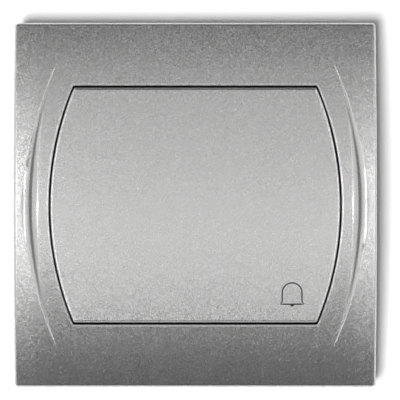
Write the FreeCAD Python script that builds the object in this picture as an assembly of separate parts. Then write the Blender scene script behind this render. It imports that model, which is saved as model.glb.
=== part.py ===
import FreeCAD, Part
import math
import os

# Flush-mounted bell push: a rocker key in a square cover frame, on a single mechanism for a 60 mm wall box.
# X runs to the right, Z up and Y into the wall. The wall's surface is the plane y = 0.
# The origin is the middle of the two box screws, on the wall's surface. Sizes are in millimetres.

Vec = FreeCAD.Vector

# Cover frame
PLATE_WIDTH = 81.9
PLATE_HEIGHT = 82.7
PLATE_CORNER_R = 0.9
PLATE_INNER_CORNER_R = 0.3
PLATE_DEPTH = 9.4
PLATE_CROWN_R = 330.0
PLATE_EDGE_R = 0.7
PLATE_WALL = 1.8
PLATE_FACE = 2.3
SIDE_BORDER = 7.96
END_BORDER = 14.45
COLLAR_WALL = 1.6
COLLAR_REAR_Y = -3.6
OPENING_EDGE = 0.15
FRAME_RIB = 1.4
FRAME_RIB_X = 10.0
FRAME_RIB_Z = 14.0

# Crescent grooves beside the key
GROOVE_LINE_R = 88.7
GROOVE_BORDER = 3.7
GROOVE_TIP_Z = 32.0
GROOVE_WALL_SLOPE = 45.0
GROOVE_WALL_WIDTH = 0.42
GROOVE_LIP_R = 2.2
GROOVE_RUN_OUT = 4.0

# Key opening and key cap
OPENING_SIDE_R = 69.1
OPENING_CORNER_R = 0.5
KEY_SIDE_GAP = 0.33
KEY_END_GAP = 0.42
KEY_FRONT_Y = -9.4
KEY_CROWN_R = 600.0
KEY_EDGE = 0.2
KEY_FACE = 1.7
KEY_WALL = 1.5
KEY_SKIRT_Y = -5.1
KEY_RIB = 1.2
KEY_RIB_Y = -6.2
KEY_RIB_SIDE_INSET = 16.0
KEY_RIB_ROCKER_GAP = 4.5

# Rocking motion: the key rests with its lower edge proud and swings about the trunnions
HINGE_Y = -4.6
REST_TILT = 1.0
PRESS_ANGLE = 4.5

# Mechanism housing in the wall box
BASE_WIDTH = 42.0
BASE_HEIGHT = 40.0
BASE_DEPTH = 22.0
BASE_WALL = 2.0
BASE_FLOOR = 2.0
BASE_CORNER_R = 3.0
COVER_STEP = 0.5
COVER_PLATE = 1.4
COVER_SPIGOT = 1.8
COVER_SPIGOT_GAP = 0.2
COVER_CORNER_R = 2.0
EAR_THICK = 2.6
EAR_R = 2.1
COVER_SCREW_SIDE_INSET = 2.7
COVER_SCREW_END_INSET = 4.5
COVER_SCREW_R = 1.2
COVER_SCREW_HEAD_R = 2.0
COVER_SCREW_HEAD = 1.3
COVER_SCREW_LENGTH = 10.0
SCREW_COLUMN = 1.9
SCREW_HOLE_FIT = 0.1

# Actuator that carries the key
ROCKER_HALF_X = 9.4
ROCKER_NOSE_MARGIN = 3.5
ROCKER_FRONT_Y = -7.3
ROCKER_PLATE = 1.4
ROCKER_CHEEK = 1.4
ROCKER_CHEEK_R = 1.7
TRUNNION_R = 1.2
TRUNNION_FIT = 0.05
TRUNNION_END_GAP = 0.2
STOP_FOOT_INSET = 2.0
STOP_FOOT = 1.6
STOP_FOOT_X = 5.6
STOP_FOOT_HALF_X = 1.2
STOP_GAP = 0.04
ROCKER_WINDOW_X = 4.6
ROCKER_WINDOW_HALF = 2.2
ROCKER_WINDOW_Z = 5.5
ROCKER_WINDOW_MARGIN = 1.7
ROCKER_WEB_Z = 2.6
ROCKER_WEB = 1.2
ROCKER_WEB_DEPTH = 1.0
CLIP_X = 5.0
CLIP_HALF_WIDTH = 2.0
CLIP_LEG = 1.2
CLIP_BARB = 0.6
CLIP_GAP = 0.2

# Yoke, pressed from sheet steel
YOKE_BORDER = 5.45
YOKE_SHEET = 1.2
YOKE_CORNER_R = 3.0
YOKE_WINDOW_MARGIN = 1.7
YOKE_WINDOW_END = 1.5
BOX_SCREW_SPACING = 60.0
BOX_SLOT_R = 1.9
BOX_SLOT_LENGTH = 7.4
TAB_X = 22.0
TAB_WIDTH = 10.0
TAB_REACH = 3.4
TAB_WINDOW_WIDTH = 6.4
TAB_WINDOW_NEAR = 1.0
TAB_WINDOW_FAR = 2.5
SNAP_GAP = 0.35
SNAP_ARM = 1.2
SNAP_BARB_FIT = 0.1
SNAP_BARB_BITE = 0.8

# Plunger between the actuator and the contact lever
PLUNGER_INSET = 8.0
PLUNGER_R = 2.0
PLUNGER_FIT = 0.06
PLUNGER_NOSE_R = 1.2
NOSE_CENTRE_GAP = 0.2
PLUNGER_COLLAR_R = 3.1
PLUNGER_COLLAR = 1.0
PLUNGER_TIP_GAP = 0.15
TOUCH_GAP = 0.05

# Contact lever and contacts
LEVER_PIN_Y = 5.0
LEVER_PIN_INSET = 8.0
LEVER_PIN_R = 0.75
LEVER_PIN_FIT = 0.05
LEVER_SHEET = 0.8
LEVER_WIDTH = 5.0
LEVER_TIP_GAP = 0.4
LEVER_TIP_WIDTH = 4.0
CONTACT_INSET = 1.8
CONTACT_R = 1.5
CONTACT_HEAD = 0.7
CONTACT_SHANK_R = 0.8
CONTACT_CLOSED_GAP = 0.1
STRIP_SHEET = 0.8
PIN_EAR = 0.8
PIN_EAR_GAP = 0.35
PIN_EAR_R = 1.6

# Screw terminals
TERMINAL_SIDE_INSET = 6.0
TERMINAL_PIN_OFFSET = 4.0
TERMINAL_SCREW_R = 1.75
TERMINAL_HEAD_R = 2.7
TERMINAL_HEAD = 1.8
TERMINAL_ACCESS_R = 3.0
TERMINAL_TRAVEL = 2.8
TERMINAL_CLOSED_GAP = 0.4
CLAMP_HALF_X = 3.7
CLAMP_HALF_Z = 3.6
CLAMP_THICK = 2.2
CLAMP_EDGE = 0.3
CLAMP_GUIDE_GAP = 0.3
CLAMP_GUIDE = 1.0
WIRE_WINDOW_GAP = 0.1
THREAD_FIT = 0.05
SCREW_SLOT = 0.8
SCREW_SLOT_DEPTH = 0.8
STRIP_HALF_WIDTH = 3.2

# Spreading claws
CLAW_SCREW_R = 1.75
CLAW_HEAD_R = 2.6
CLAW_HEAD = 1.8
CLAW_SCREW_LENGTH = 24.2
CLAW_HOLE_GAP = 0.2
CLAW_TRAVEL = 3.9
CLAW_SHEET = 1.6
CLAW_FRONT_Y = 16.8
CLAW_WIDTH = 13.0
CLAW_REACH = 5.6
CLAW_TOOTH = 1.3
CLAW_TEETH = 5
CLAW_SLOT_HALF = 2.1
RAMP_FRONT_Y = 1.5
RAMP_END_MARGIN = 1.5
RAMP_WIDTH = 3.0
RAMP_BEVEL = 0.7
CLAW_WALL_GAP = 0.2
CLAW_SLIDE_GAP = 0.075
NUT_HALF = 2.9
NUT_THICK = 2.4
NUT_EDGE = 0.3
NUT_WALL_GAP = 0.5
NUT_GUIDE_GAP = 0.2
NUT_GUIDE_SHEET = 1.1

# Compression springs
RETURN_SPRING_X = 6.0
RETURN_SPRING_OFFSET = 3.0
RETURN_SPRING_R = 1.9
RETURN_WIRE_R = 0.2
RETURN_COILS = 3
RETURN_POCKET = 0.6
LEVER_SPRING_OFFSET = 7.0
LEVER_SPRING_R = 2.0
LEVER_WIRE_R = 0.18
LEVER_COILS = 4
LEVER_SEAT_Y = 13.0
LEVER_SPRING_PEG = 2.5
SPRING_END_GAP = 0.05
SPRING_SEAT_GAP = 0.35
COIL_STEPS = 12

# Levels and sizes that follow from the values above
OPENING_WIDTH = PLATE_WIDTH - 2.0 * SIDE_BORDER
OPENING_HEIGHT = PLATE_HEIGHT - 2.0 * END_BORDER
GROOVE_LINE_X = PLATE_WIDTH / 2.0 - GROOVE_BORDER
KEY_RIB_X = OPENING_WIDTH / 2.0 - KEY_RIB_SIDE_INSET
YOKE_WIDTH = PLATE_WIDTH - 2.0 * YOKE_BORDER
YOKE_HEIGHT = PLATE_HEIGHT - 2.0 * YOKE_BORDER
YOKE_FRONT_Y = -YOKE_SHEET
COVER_FRONT_Y = YOKE_FRONT_Y - COVER_PLATE
COVER_REAR_Y = COVER_SPIGOT + YOKE_FRONT_Y
COVER_WIDTH = BASE_WIDTH - 2.0 * COVER_STEP
COVER_HEIGHT = BASE_HEIGHT - 2.0 * COVER_STEP
COVER_SCREW_X = BASE_WIDTH / 2.0 - COVER_SCREW_SIDE_INSET
COVER_SCREW_Z = BASE_HEIGHT / 2.0 - COVER_SCREW_END_INSET
YOKE_WINDOW_X = 2.0 * (COVER_SCREW_X - YOKE_WINDOW_MARGIN)
YOKE_WINDOW_Z = 2.0 * (COVER_SCREW_Z + YOKE_WINDOW_END)
BASE_INNER_X = BASE_WIDTH / 2.0 - BASE_WALL
BASE_INNER_Z = BASE_HEIGHT / 2.0 - BASE_WALL
BASE_FLOOR_Y = BASE_DEPTH - BASE_FLOOR
PLUNGER_Z = -(BASE_HEIGHT / 2.0 - PLUNGER_INSET)
ROCKER_HALF_Z = ROCKER_NOSE_MARGIN - PLUNGER_Z
ROCKER_REAR_Y = ROCKER_FRONT_Y + ROCKER_PLATE
KEY_RIB_Z = ROCKER_HALF_Z + KEY_RIB_ROCKER_GAP
STOP_FOOT_Z = ROCKER_HALF_Z - STOP_FOOT_INSET
EAR_INNER_X = ROCKER_HALF_X + TRUNNION_END_GAP
EAR_OUTER_X = EAR_INNER_X + EAR_THICK
TRUNNION_END_X = EAR_OUTER_X + TRUNNION_END_GAP
NOSE_Y = ROCKER_REAR_Y + NOSE_CENTRE_GAP
PRESS_TRAVEL = -PLUNGER_Z * (
    math.sin(math.radians(REST_TILT)) + math.sin(math.radians(PRESS_ANGLE - REST_TILT))
)
LEVER_PIN_Z = BASE_HEIGHT / 2.0 - LEVER_PIN_INSET
LEVER_TIP_Z = LEVER_TIP_GAP - BASE_INNER_Z
CONTACT_Z = LEVER_TIP_Z + CONTACT_INSET
LEVER_ARM = LEVER_PIN_Z - PLUNGER_Z
LEVER_LOOP_R = LEVER_PIN_R + LEVER_PIN_FIT + LEVER_SHEET
LEVER_FRONT_Y = LEVER_PIN_Y + LEVER_PIN_R + LEVER_PIN_FIT
LEVER_REAR_Y = LEVER_FRONT_Y + LEVER_SHEET
CONTACT_TRAVEL = PRESS_TRAVEL * (LEVER_PIN_Z - CONTACT_Z) / LEVER_ARM
STRIP_FRONT_Y = LEVER_REAR_Y + CONTACT_HEAD + CONTACT_TRAVEL + CONTACT_CLOSED_GAP + CONTACT_HEAD
STRIP_REAR_Y = STRIP_FRONT_Y + STRIP_SHEET
PIN_EAR_X = LEVER_WIDTH / 2.0 + PIN_EAR_GAP
TERMINAL_X = BASE_INNER_X - TERMINAL_SIDE_INSET
TERMINAL_Z = LEVER_PIN_Z - TERMINAL_PIN_OFFSET
CLAMP_FRONT_Y = STRIP_REAR_Y + TERMINAL_TRAVEL + TERMINAL_CLOSED_GAP
CLAW_SCREW_Z = BASE_HEIGHT / 2.0 + NUT_WALL_GAP + NUT_HALF
CLAW_REACH_Z = CLAW_SCREW_Z + CLAW_REACH
CLAW_REAR_Y = CLAW_FRONT_Y + CLAW_SHEET
RAMP_TOP_Z = BASE_HEIGHT / 2.0 + CLAW_TRAVEL + RAMP_END_MARGIN
RAMP_INNER_X = NUT_HALF + NUT_GUIDE_GAP
RAMP_OUTER_X = RAMP_INNER_X + RAMP_WIDTH
RAMP_PLANE = CLAW_FRONT_Y + RAMP_BEVEL + BASE_HEIGHT / 2.0 + CLAW_WALL_GAP
RETURN_SPRING_Z = PLUNGER_Z + RETURN_SPRING_OFFSET
LEVER_SPRING_Z = PLUNGER_Z + LEVER_SPRING_OFFSET


# Plain solids
def block(x0, x1, y0, y1, z0, z1):
    return Part.makeBox(x1 - x0, y1 - y0, z1 - z0, Vec(x0, y0, z0))


def rod_y(x, z, radius, y0, y1):
    return Part.makeCylinder(radius, y1 - y0, Vec(x, y0, z), Vec(0, 1, 0))


def rod_x(y, z, radius, x0, x1):
    return Part.makeCylinder(radius, x1 - x0, Vec(x0, y, z), Vec(1, 0, 0))


def rounded_block(width, height, y0, y1, corner_r):
    solid = block(-width / 2.0, width / 2.0, y0, y1, -height / 2.0, height / 2.0)
    return solid.makeFillet(corner_r, edges_along(solid, Vec(0, 1, 0)))


def slab_x(points_yz, x0, x1):
    wire = Part.makePolygon([Vec(x0, y, z) for y, z in points_yz + points_yz[:1]])
    return Part.Face(wire).extrude(Vec(x1 - x0, 0, 0))


def edges_along(solid, direction):
    found = []
    for edge in solid.Edges:
        start = edge.valueAt(edge.FirstParameter)
        run = edge.valueAt(edge.LastParameter).sub(start)
        if run.Length > 1e-6 and abs(abs(run.normalize().dot(direction)) - 1.0) < 1e-6:
            found.append(edge)
    return found


def half_turn(shape):
    copy = shape.copy()
    copy.rotate(Vec(0, 0, 0), Vec(0, 1, 0), 180.0)
    return copy


def mirror_x(shape):
    return shape.mirror(Vec(0, 0, 0), Vec(1, 0, 0))


def at_rest(shape):
    copy = shape.copy()
    copy.rotate(Vec(0, HINGE_Y, 0), Vec(1, 0, 0), -REST_TILT)
    return copy


def tilted_y(y, z):
    # Where a point of the rocking parts lies in y when the key is at rest
    tilt = math.radians(-REST_TILT)
    return HINGE_Y + (y - HINGE_Y) * math.cos(tilt) - z * math.sin(tilt)


# Crowned forms: the front is an arc in the Y-Z plane, carried straight across in X
def crown_solid(front_y, crown_r, reach):
    drop = crown_r - math.sqrt(crown_r**2 - reach**2)
    edge_y = front_y + drop
    rear_y = edge_y + PLATE_DEPTH
    middle = Vec(-reach, front_y, 0)
    arc = Part.Arc(Vec(-reach, edge_y, -reach), middle, Vec(-reach, edge_y, reach)).toShape()
    rim = [(edge_y, reach), (rear_y, reach), (rear_y, -reach), (edge_y, -reach)]
    back = Part.makePolygon([Vec(-reach, y, z) for y, z in rim])
    return Part.Face(Part.Wire([arc] + back.Edges)).extrude(Vec(2.0 * reach, 0, 0))


def plate_crown(inset):
    return crown_solid(inset - PLATE_DEPTH, PLATE_CROWN_R - inset, 0.6 * PLATE_WIDTH)


def key_crown(inset):
    return crown_solid(KEY_FRONT_Y + inset, KEY_CROWN_R - inset, 0.6 * OPENING_WIDTH)


def plate_prism(inset, y0, y1):
    # The plate's square outline with its small corners
    corner_r = PLATE_CORNER_R if inset < PLATE_CORNER_R else PLATE_INNER_CORNER_R
    return rounded_block(PLATE_WIDTH - 2.0 * inset, PLATE_HEIGHT - 2.0 * inset, y0, y1, corner_r)


def barrel_prism(grow_side, grow_end, y0, y1):
    # The key's outline: straight top and bottom, sides that bow out on a large radius
    half_w = OPENING_WIDTH / 2.0 + grow_side
    half_h = OPENING_HEIGHT / 2.0 + grow_end
    side_r = OPENING_SIDE_R + grow_side
    corner_x = half_w - side_r + math.sqrt(side_r**2 - half_h**2)
    right = Part.Arc(Vec(corner_x, y0, -half_h), Vec(half_w, y0, 0), Vec(corner_x, y0, half_h)).toShape()
    left = Part.Arc(Vec(-corner_x, y0, half_h), Vec(-half_w, y0, 0), Vec(-corner_x, y0, -half_h)).toShape()
    top = Part.makeLine(Vec(corner_x, y0, half_h), Vec(-corner_x, y0, half_h))
    bottom = Part.makeLine(Vec(-corner_x, y0, -half_h), Vec(corner_x, y0, -half_h))
    solid = Part.Face(Part.Wire([right, top, left, bottom])).extrude(Vec(0, y1 - y0, 0))
    return solid.makeFillet(OPENING_CORNER_R, edges_along(solid, Vec(0, 1, 0)))


def front_edges(solid, outline, y_limit):
    # Edges of the front face that lie on an outline's side walls
    walls = Part.makeCompound([face for face in outline.Faces if abs(face.normalAt(0, 0).y) < 0.5])
    found = []
    for edge in solid.Edges:
        middle = edge.valueAt(0.5 * (edge.FirstParameter + edge.LastParameter))
        ends = [vertex.Point for vertex in edge.Vertexes]
        if middle.y > y_limit or max(point.y for point in ends) > y_limit:
            continue
        if max(walls.distToShape(Part.Vertex(point))[0] for point in ends + [middle]) < 1e-3:
            found.append(edge)
    return found


# Cover frame
def groove_tool():
    # The groove's section lies at z = 0: two lips that curve over from the face into the walls of a V.
    # It swings about an axis beyond the plate's far side. The axis leans, so that the V's bottom meets the
    # falling crown at the tips and the groove runs out to nothing there.
    slope = math.radians(GROOVE_WALL_SLOPE)
    lip_width = GROOVE_LIP_R * math.sin(slope)
    lip_depth = GROOVE_LIP_R * (1.0 - math.cos(slope))
    depth = lip_depth + GROOVE_WALL_WIDTH * math.tan(slope)
    tip_drop = PLATE_CROWN_R - math.sqrt(PLATE_CROWN_R**2 - GROOVE_TIP_Z**2)
    tip_run = GROOVE_LINE_R - math.sqrt(GROOVE_LINE_R**2 - GROOVE_TIP_Z**2)
    lean = math.atan((tip_drop - depth) / tip_run)
    face_y = -PLATE_DEPTH
    bottom_y = face_y + depth
    lid_y = face_y - 1.0

    def lip(side):
        middle = GROOVE_LIP_R * math.sin(slope / 2.0)
        sagitta = GROOVE_LIP_R * (1.0 - math.cos(slope / 2.0))
        outer_x = GROOVE_WALL_WIDTH + lip_width
        start = Vec(GROOVE_LINE_X + side * outer_x, face_y, 0)
        halfway = Vec(GROOVE_LINE_X + side * (outer_x - middle), face_y + sagitta, 0)
        end = Vec(GROOVE_LINE_X + side * GROOVE_WALL_WIDTH, face_y + lip_depth, 0)
        return start, halfway, end

    outer = lip(1)
    inner = lip(-1)
    bottom = Vec(GROOVE_LINE_X, bottom_y, 0)
    edges = [
        Part.Arc(*outer).toShape(),
        Part.makeLine(outer[2], bottom),
        Part.makeLine(bottom, inner[2]),
        Part.Arc(*inner).toShape(),
        Part.makeLine(inner[0], Vec(inner[0].x, lid_y, 0)),
        Part.makeLine(Vec(inner[0].x, lid_y, 0), Vec(outer[0].x, lid_y, 0)),
        Part.makeLine(Vec(outer[0].x, lid_y, 0), outer[0]),
    ]
    section = Part.Face(Part.Wire(Part.__sortEdges__(edges)))
    centre = Vec(GROOVE_LINE_X - GROOVE_LINE_R, bottom_y + GROOVE_LINE_R * math.tan(lean), 0)
    axis = Vec(math.sin(lean), math.cos(lean), 0)
    half_sweep = math.degrees(math.asin(GROOVE_TIP_Z / GROOVE_LINE_R)) + GROOVE_RUN_OUT
    section.rotate(centre, axis, -half_sweep)
    return section.revolve(centre, axis, 2.0 * half_sweep)


def snap_arm():
    # Arm behind the face of the frame, with a barb that catches in the yoke's bent tab
    tab_outer_z = YOKE_HEIGHT / 2.0
    arm_z = tab_outer_z + SNAP_GAP
    half = TAB_WINDOW_WIDTH / 2.0 - SNAP_BARB_FIT
    tip_y = YOKE_FRONT_Y - TAB_WINDOW_NEAR + SNAP_BARB_FIT
    arm = block(TAB_X - half, TAB_X + half, -PLATE_DEPTH, tip_y, arm_z, arm_z + SNAP_ARM)
    catch_y = YOKE_FRONT_Y - TAB_WINDOW_FAR + SNAP_BARB_FIT
    lead_y = tip_y - SNAP_BARB_FIT * 2.0
    hook = [(catch_y, arm_z), (catch_y, arm_z - SNAP_BARB_BITE), (lead_y, arm_z), (tip_y, arm_z)]
    barb = slab_x(hook, TAB_X - half, TAB_X + half)
    return arm.fuse(barb)


def cover_frame():
    rear_y = 0.0
    prism = plate_prism(0.0, -2.0 * PLATE_DEPTH, rear_y)
    outer = prism.common(plate_crown(0.0))
    outer = outer.makeFillet(PLATE_EDGE_R, front_edges(outer, prism, -PLATE_DEPTH / 2.0))
    core = plate_crown(PLATE_FACE / 2.0).common(plate_prism(PLATE_WALL / 2.0, -PLATE_DEPTH, rear_y))
    hollow = plate_prism(PLATE_WALL, -2.0 * PLATE_DEPTH, 1.0).common(plate_crown(PLATE_FACE))
    body = outer.cut(hollow)
    collar = barrel_prism(COLLAR_WALL, COLLAR_WALL, -PLATE_DEPTH, COLLAR_REAR_Y).common(core)
    half_rib = FRAME_RIB / 2.0
    inner_z = OPENING_HEIGHT / 2.0 + COLLAR_WALL / 2.0
    inner_x = OPENING_WIDTH / 2.0 - COLLAR_WALL
    reach_x = PLATE_WIDTH / 2.0
    reach_z = PLATE_HEIGHT / 2.0
    ribs = []
    for side in (-1, 1):
        x = side * FRAME_RIB_X
        ribs.append(block(x - half_rib, x + half_rib, -PLATE_DEPTH, YOKE_FRONT_Y, inner_z, reach_z))
        z = side * FRAME_RIB_Z
        ribs.append(block(inner_x, reach_x, -PLATE_DEPTH, YOKE_FRONT_Y, z - half_rib, z + half_rib))
    ribs = ribs + [half_turn(rib) for rib in ribs]
    arms = [snap_arm(), mirror_x(snap_arm())]
    arms = arms + [half_turn(arm) for arm in arms]
    extras = [piece.common(core) for piece in ribs + arms]
    body = body.fuse([collar] + extras).removeSplitter()
    opening = barrel_prism(0.0, 0.0, -2.0 * PLATE_DEPTH, 1.0)
    body = body.cut(opening)
    body = body.makeChamfer(OPENING_EDGE, front_edges(body, opening, COLLAR_REAR_Y - 1.0))
    groove = groove_tool()
    return body.cut([groove, mirror_x(groove)])


# Key cap, drawn level and then set to its resting tilt
def key_clip():
    plate_end_z = ROCKER_HALF_Z + CLIP_GAP
    rear_y = ROCKER_REAR_Y + CLIP_BARB + TOUCH_GAP
    leg = block(
        CLIP_X - CLIP_HALF_WIDTH,
        CLIP_X + CLIP_HALF_WIDTH,
        KEY_FRONT_Y,
        rear_y,
        plate_end_z,
        plate_end_z + CLIP_LEG,
    )
    catch_y = ROCKER_REAR_Y + TOUCH_GAP
    barb = slab_x(
        [(catch_y, plate_end_z), (catch_y, plate_end_z - CLIP_BARB), (rear_y, plate_end_z)],
        CLIP_X - CLIP_HALF_WIDTH,
        CLIP_X + CLIP_HALF_WIDTH,
    )
    return leg.fuse(barb)


def key_cap():
    prism = barrel_prism(-KEY_SIDE_GAP, -KEY_END_GAP, 2.0 * KEY_FRONT_Y, KEY_SKIRT_Y)
    outer = prism.common(key_crown(0.0))
    outer = outer.makeChamfer(KEY_EDGE, front_edges(outer, prism, KEY_SKIRT_Y - 1.0))
    core = outer.common(key_crown(KEY_FACE / 2.0))
    inner_side = -KEY_SIDE_GAP - KEY_WALL
    inner_end = -KEY_END_GAP - KEY_WALL
    hollow = barrel_prism(inner_side, inner_end, 2.0 * KEY_FRONT_Y, 1.0)
    hollow = hollow.common(key_crown(KEY_FACE))
    body = outer.cut(hollow)
    half = KEY_RIB / 2.0
    span_x = OPENING_WIDTH / 2.0 - KEY_SIDE_GAP - KEY_WALL / 2.0
    span_z = OPENING_HEIGHT / 2.0 - KEY_END_GAP - KEY_WALL / 2.0
    ribs = []
    for side in (-1, 1):
        x = side * KEY_RIB_X
        z = side * KEY_RIB_Z
        ribs.append(block(x - half, x + half, KEY_FRONT_Y, KEY_RIB_Y, -span_z, span_z))
        ribs.append(block(-span_x, span_x, KEY_FRONT_Y, KEY_RIB_Y, z - half, z + half))
        pad_x = side * (ROCKER_HALF_X - KEY_RIB)
        ribs.append(
            block(pad_x - half, pad_x + half, KEY_FRONT_Y, ROCKER_FRONT_Y, -ROCKER_HALF_Z, ROCKER_HALF_Z)
        )
    clips = [key_clip(), mirror_x(key_clip())]
    clips = clips + [half_turn(clip) for clip in clips]
    extras = [piece.common(core) for piece in ribs + clips]
    return at_rest(body.fuse(extras).removeSplitter())


# Rocking actuator with its trunnions, nose and stop feet
def stop_feet(z, tilt):
    # A pair of feet whose ends meet the mechanism cover when the rocker reaches that tilt
    half = STOP_FOOT / 2.0
    outer_z = abs(z) + half
    reach = (COVER_FRONT_Y - STOP_GAP - HINGE_Y) - outer_z * math.sin(math.radians(tilt))
    end_y = HINGE_Y + reach / math.cos(math.radians(tilt))
    foot = block(
        STOP_FOOT_X - STOP_FOOT_HALF_X, STOP_FOOT_X + STOP_FOOT_HALF_X, ROCKER_REAR_Y, end_y, z - half, z + half
    )
    return [foot, mirror_x(foot)]


def rocker_actuator():
    body = rounded_block(2.0 * ROCKER_HALF_X, 2.0 * ROCKER_HALF_Z, ROCKER_FRONT_Y, ROCKER_REAR_Y, 1.0)
    nose = rod_x(NOSE_Y, PLUNGER_Z, PLUNGER_NOSE_R, -PLUNGER_R, PLUNGER_R)
    feet = stop_feet(STOP_FOOT_Z, REST_TILT) + stop_feet(-STOP_FOOT_Z, PRESS_ANGLE - REST_TILT)
    sides = []
    for side in (-1, 1):
        inner = ROCKER_HALF_X - ROCKER_CHEEK
        x0, x1 = sorted((side * inner, side * ROCKER_HALF_X))
        sides.append(block(x0, x1, ROCKER_REAR_Y, HINGE_Y, -ROCKER_CHEEK_R, ROCKER_CHEEK_R))
        sides.append(rod_x(HINGE_Y, 0, ROCKER_CHEEK_R, x0, x1))
        x0, x1 = sorted((side * inner, side * TRUNNION_END_X))
        sides.append(rod_x(HINGE_Y, 0, TRUNNION_R, x0, x1))
    web_y = ROCKER_REAR_Y + ROCKER_WEB_DEPTH
    web_z = ROCKER_WEB_Z + ROCKER_WEB
    web = block(-ROCKER_HALF_X, ROCKER_HALF_X, ROCKER_REAR_Y, web_y, ROCKER_WEB_Z, web_z)
    body = body.fuse([nose, web] + feet + sides).removeSplitter()
    window_end = STOP_FOOT_Z - STOP_FOOT / 2.0 - ROCKER_WINDOW_MARGIN
    windows = []
    for x in (-ROCKER_WINDOW_X, ROCKER_WINDOW_X):
        x0 = x - ROCKER_WINDOW_HALF
        x1 = x + ROCKER_WINDOW_HALF
        windows.append(block(x0, x1, ROCKER_FRONT_Y - 1.0, ROCKER_REAR_Y + 0.5, ROCKER_WINDOW_Z, window_end))
    return at_rest(body.cut(windows))


# Yoke
def box_slot(side):
    centre = side * BOX_SCREW_SPACING / 2.0
    run = BOX_SLOT_LENGTH / 2.0 - BOX_SLOT_R
    y0 = YOKE_FRONT_Y - 1.0
    middle = block(centre - run, centre + run, y0, 1.0, -BOX_SLOT_R, BOX_SLOT_R)
    ends = [rod_y(centre + end * run, 0, BOX_SLOT_R, y0, 1.0) for end in (-1, 1)]
    return middle.fuse(ends).removeSplitter()


def yoke_tab():
    outer_z = YOKE_HEIGHT / 2.0
    tip_y = YOKE_FRONT_Y - TAB_REACH
    half = TAB_WIDTH / 2.0
    tab = block(TAB_X - half, TAB_X + half, tip_y, YOKE_FRONT_Y, outer_z - YOKE_SHEET, outer_z)
    half_window = TAB_WINDOW_WIDTH / 2.0
    window = block(
        TAB_X - half_window,
        TAB_X + half_window,
        YOKE_FRONT_Y - TAB_WINDOW_FAR,
        YOKE_FRONT_Y - TAB_WINDOW_NEAR,
        outer_z - 2.0 * YOKE_SHEET,
        outer_z + YOKE_SHEET,
    )
    return tab.cut(window)


def mounting_yoke():
    body = rounded_block(YOKE_WIDTH, YOKE_HEIGHT, YOKE_FRONT_Y, 0.0, YOKE_CORNER_R)
    tabs = [yoke_tab(), mirror_x(yoke_tab())]
    tabs = tabs + [half_turn(tab) for tab in tabs]
    body = body.fuse(tabs).removeSplitter()
    window = rounded_block(YOKE_WINDOW_X, YOKE_WINDOW_Z, YOKE_FRONT_Y - 1.0, 1.0, COVER_CORNER_R)
    holes = [window, box_slot(-1), box_slot(1)]
    for side in (-1, 1):
        hole_r = CLAW_SCREW_R + CLAW_HOLE_GAP
        holes.append(rod_y(0, side * CLAW_SCREW_Z, hole_r, YOKE_FRONT_Y - 1.0, 1.0))
    for x, z in cover_screw_places():
        holes.append(rod_y(x, z, COVER_SCREW_R + SCREW_HOLE_FIT, YOKE_FRONT_Y - 1.0, 1.0))
    return body.cut(holes)


# Housing in the wall box
def cover_screw_places():
    # Two corners that face each other across the cover
    return [(-COVER_SCREW_X, COVER_SCREW_Z), (COVER_SCREW_X, -COVER_SCREW_Z)]


def claw_ramps():
    wall_z = BASE_HEIGHT / 2.0
    points = [
        (RAMP_FRONT_Y, wall_z - BASE_WALL / 2.0),
        (RAMP_FRONT_Y, RAMP_TOP_Z),
        (RAMP_PLANE - RAMP_TOP_Z, RAMP_TOP_Z),
        (RAMP_PLANE - wall_z, wall_z),
        (RAMP_PLANE - wall_z, wall_z - BASE_WALL / 2.0),
    ]
    return [slab_x(points, RAMP_INNER_X, RAMP_OUTER_X), slab_x(points, -RAMP_OUTER_X, -RAMP_INNER_X)]


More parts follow.
